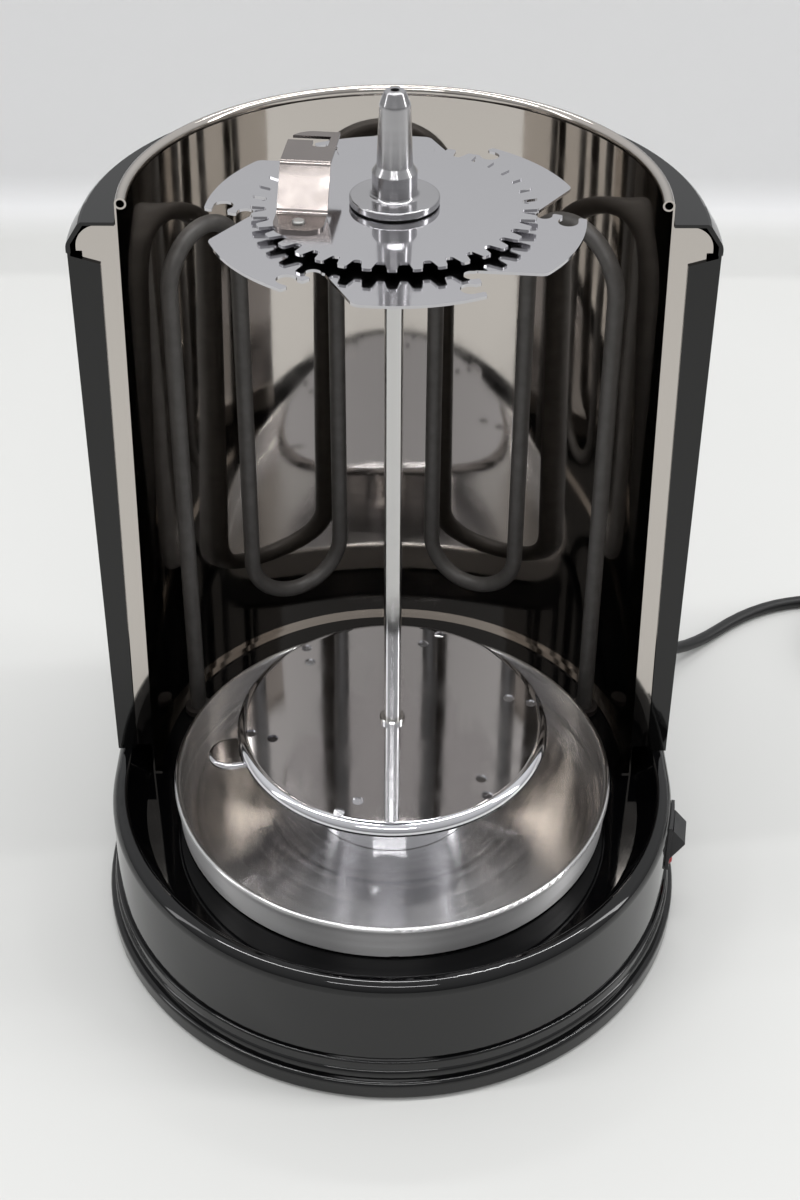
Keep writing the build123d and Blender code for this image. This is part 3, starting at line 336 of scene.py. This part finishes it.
nodeFinish = {
    "base_housing": "mouldedAbs", "base_ring": "mouldedAbs", "base_feet": "rubberFoot",
    "base_screws": "zincSteel", "drive_motor": "zincSteel", "motor_screws": "zincSteel",
    "motor_shaft": "zincSteel", "shaft_bush": "castBrass", "drive_coupling": "zincSteel",
    "drip_tray": "spunTray",
    "lower_dish": "buffedSheet", "dish_cup": "buffedSheet", "dish_socket": "zincSteel",
    "dish_tab": "polishedSheet", "centre_rod": "drawnRod", "rod_collar": "drawnRod",
    "hook_plate": "polishedSheet", "gear_spacer": "turnedAluminium", "sun_gear": "polishedSheet",
    "gear_bracket": "brownedSheet", "bracket_rivet": "zincSteel", "hub_washer": "rubberFoot",
    "top_hub": "turnedAluminium", "outer_shell": "bakedEnamel", "shell_screws": "zincSteel",
    "top_cap": "mouldedAbs", "reflector": "reflectorSheet", "heater": "firedOxide",
    # the heater bushes take the near-black seal finish, painted shade at the tubes' feet
    "heater_bushes": "shadeDarkSeal", "switch_body": "satinNylon", "switch_rocker": "satinNylon",
    "indicator_lamp": "redLens", "terminal_block": "steatite", "thermal_cutout": "zincSteel",
    "internal_wires": "siliconeSleeve", "strain_relief": "rubberFoot", "cord_lead": "cordJacket",
    "cord_coil": "cordJacket", "cord_tail": "cordJacket", "plug_body": "plugPvc", "plug_pins": "nickelPin",
}

for nodeName, finishName in nodeFinish.items():
    mesh = nodes[nodeName].data
    mesh.materials.clear()
    mesh.materials.append(finishes[finishName])
mainsCord.data.materials.append(finishes["cordJacket"])
print("materials assigned")

studioValues = {  # lengths in metres
    "floorColour": "d2d2d0",
    "wallColour": "e4e4e5",
    "paperRoughness": 0.5,
    "wallStart": 0.70,  # behind the carousel
    "wallBend": 0.04,
    "bendSteps": 8,
    "fadeHeight": 0.015,  # the floor's colour has turned into the wall's here
    "floorReach": 3.0,
    "wallHeight": 0.26,  # low, so that a view from behind clears it
    "lamps": [  # name, place, size, watts, aim
        ("roofTubeLeft", (-0.75, -0.1, 2.2), (0.08, 1.5), 12.0, (0, 0, 0)),
        ("roofTubeRight", (0.65, 0.1, 2.2), (0.08, 1.5), 14.0, (0, 0, 0)),
        ("roofTubeBack", (0.0, 1.5, 2.2), (1.3, 0.08), 7.0, (0, 0, 0)),
        ("roofTubeFront", (-0.1, -1.6, 1.9), (1.3, 0.08), 8.0, (0, 0, 0)),
        ("leftWindow", (-2.0, -0.3, 1.2), (0.25, 1.4), 4.0, (0, 0, 0.2)),
        ("rightWindow", (2.0, -0.1, 1.2), (0.25, 1.4), 8.0, (0, 0, 0.2)),
    ],
    "skyColour": "fafbfc",
    "skyLow": 0.36,  # brightness at the first height of skyRise, skyHigh at the second
    "skyHigh": 0.78,
    "skyRise": (-0.05, 0.5),  # heights of the look, where 1 is straight up
    "skyFront": 0.6,  # the share of it that is left in front, at the first depth of skyDepth
    "skyDepth": (-0.9, 0.1),  # depths of the look, where -1 is straight to the front
}


def makeBackdrop(values):
    start, bend, steps = values["wallStart"], values["wallBend"], values["bendSteps"]
    profile = [(-values["floorReach"], 0.0), (start, 0.0)]
    for i in range(1, steps + 1):
        angle = math.radians(90) * i / steps
        profile.append((start + bend * math.sin(angle), bend * (1 - math.cos(angle))))
    profile.append((start + bend, values["wallHeight"]))
    width = values["floorReach"]
    corners = [(x, y, z) for y, z in profile for x in (-width, width)]
    faces = [(2 * i, 2 * i + 1, 2 * i + 3, 2 * i + 2) for i in range(len(profile) - 1)]
    mesh = bpy.data.meshes.new("tableAndWall")
    mesh.from_pydata(corners, [], faces)
    mesh.shade_smooth()
    backdrop = bpy.data.objects.new("tableAndWall", mesh)
    bpy.context.scene.collection.objects.link(backdrop)
    # a matte paper sweep: no shine, a floor a little darker than the wall
    material, tree, shader, place = newMaterial(
        "paperSweep", values["floorColour"], 0.0, values["paperRoughness"])
    split = addNode(tree, "ShaderNodeSeparateXYZ", {}, {"Vector": place})
    upWall = addNode(tree, "ShaderNodeMapRange", {}, {
        "Value": split.outputs["Z"], "From Min": 0.0, "From Max": values["fadeHeight"]})
    shade = mixShades(tree, upWall.outputs[0], values["floorColour"], values["wallColour"])
    tree.links.new(shade, shader.inputs["Base Color"])
    mesh.materials.append(material)


def makeLamps(values):
    for name, place, size, watts, aim in values["lamps"]:
        data = bpy.data.lights.new(name, "AREA")
        data.shape = "RECTANGLE"
        data.size, data.size_y = size
        data.energy = watts
        lamp = bpy.data.objects.new(name, data)
        bpy.context.scene.collection.objects.link(lamp)
        lamp.location = place
        lamp.rotation_euler = (Vector(aim) - Vector(place)).to_track_quat("-Z", "Y").to_euler()


def makeWorld(values):
    world = bpy.data.worlds.new("softRoom")
    bpy.context.scene.world = world
    world.use_nodes = True
    tree = world.node_tree
    tree.nodes.clear()
    look = addNode(tree, "ShaderNodeTexCoord").outputs["Generated"]
    split = addNode(tree, "ShaderNodeSeparateXYZ", {}, {"Vector": look})
    lift = addNode(tree, "ShaderNodeMapRange", {}, {
        "Value": split.outputs["Z"], "From Min": values["skyRise"][0], "From Max": values["skyRise"][1],
        "To Min": values["skyLow"], "To Max": values["skyHigh"]})
    front = addNode(tree, "ShaderNodeMapRange", {}, {
        "Value": split.outputs["Y"], "From Min": values["skyDepth"][0], "From Max": values["skyDepth"][1],
        "To Min": values["skyFront"], "To Max": 1.0})
    level = addNode(tree, "ShaderNodeMath", {"operation": "MULTIPLY"}, {
        0: lift.outputs[0], 1: front.outputs[0]})
    sky = addNode(tree, "ShaderNodeBackground", {}, {"Strength": level.outputs[0]})
    sky.inputs["Color"].default_value = linearColour(values["skyColour"])
    addNode(tree, "ShaderNodeOutputWorld", {}, {"Surface": sky.outputs[0]})


makeBackdrop(studioValues)
makeLamps(studioValues)
makeWorld(studioValues)
print("studio lit")

print("finished")
